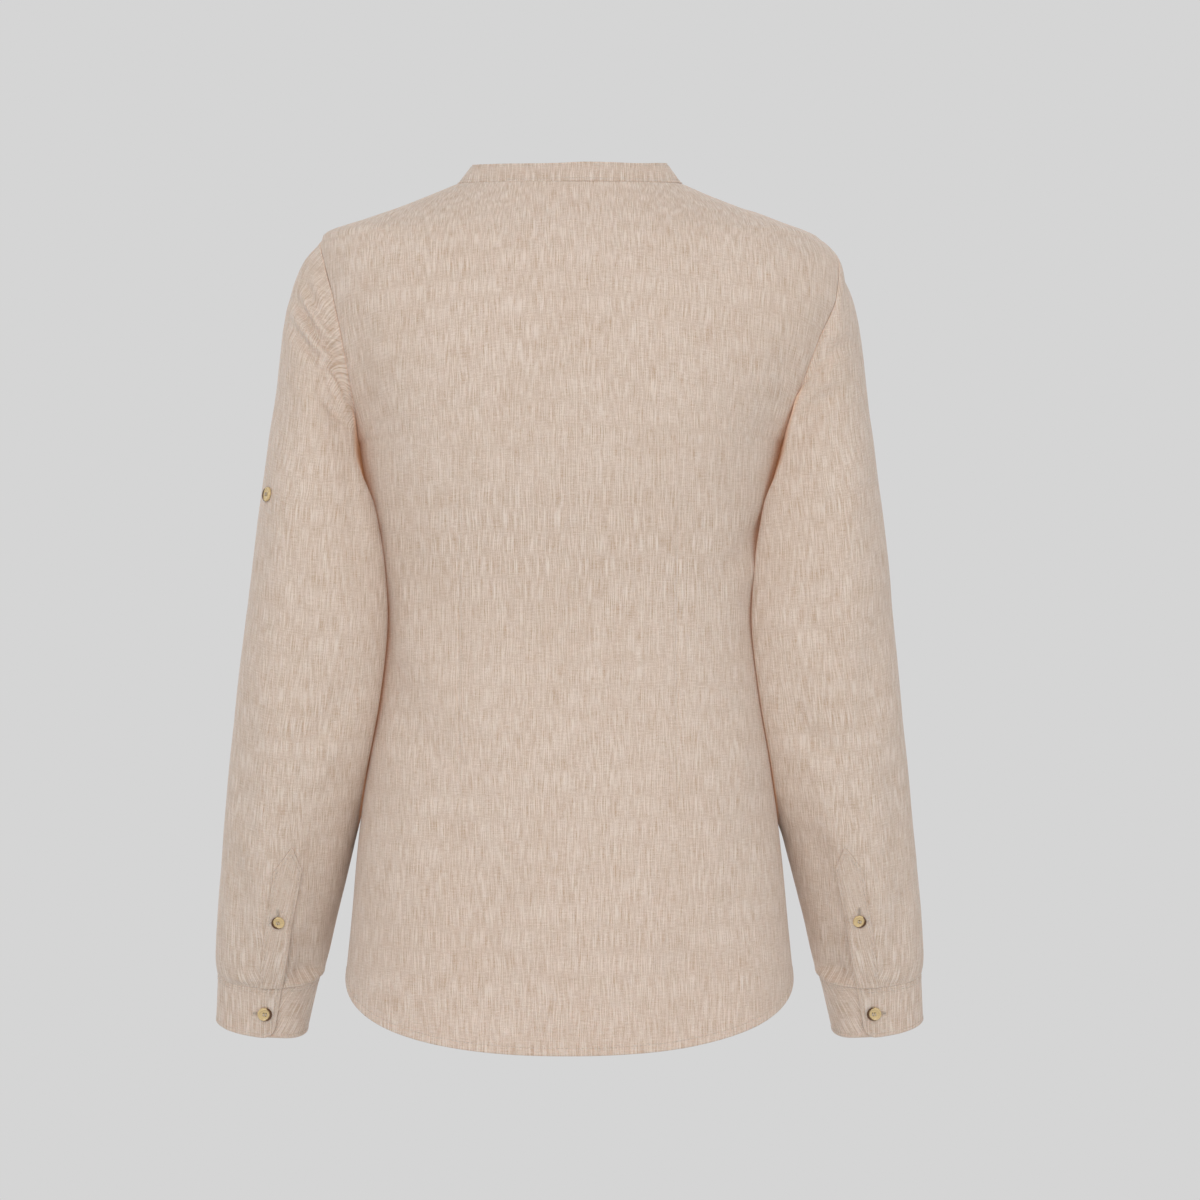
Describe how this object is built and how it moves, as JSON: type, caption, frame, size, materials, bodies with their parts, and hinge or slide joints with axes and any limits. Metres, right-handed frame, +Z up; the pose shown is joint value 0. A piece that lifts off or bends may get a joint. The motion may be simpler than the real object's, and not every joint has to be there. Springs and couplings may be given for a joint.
{
  "type": "mandarin collar shirt",
  "caption": "Long-sleeved linen shirt with a mandarin collar, buttoned cuffs and sleeve plackets, filled out as if worn.",
  "frame": {"origin": "centre of the neck opening, level with the side of the collar seam, where the wearer's neck and shoulders hold the shirt up", "axes": "+Z up towards the head, the front faces -Y, the back +Y, the wearer's left is +X"},
  "size_m": [0.564, 0.2511, 0.6877],
  "materials": {
    "linen": "matte linen, slubbed in two tones",
    "horn": "horn-like button with a darker rim"
  },
  "bodies": {
    "root": {"back": "linen", "button_cuff_left": "horn", "button_cuff_right": "horn", "button_front_1": "horn", "button_front_2": "horn", "button_front_3": "horn", "button_front_4": "horn", "button_front_5": "horn", "button_front_6": "horn", "button_front_7": "horn", "button_placket_left": "horn", "button_placket_right": "horn", "button_tab_left": "horn", "button_tab_right": "horn", "collar": "linen", "cuff_left": "linen", "cuff_right": "linen", "front_left": "linen", "front_right": "linen", "sleeve_left": "linen", "sleeve_placket_left": "linen", "sleeve_placket_right": "linen", "sleeve_right": "linen"}
  },
  "joints": []
}
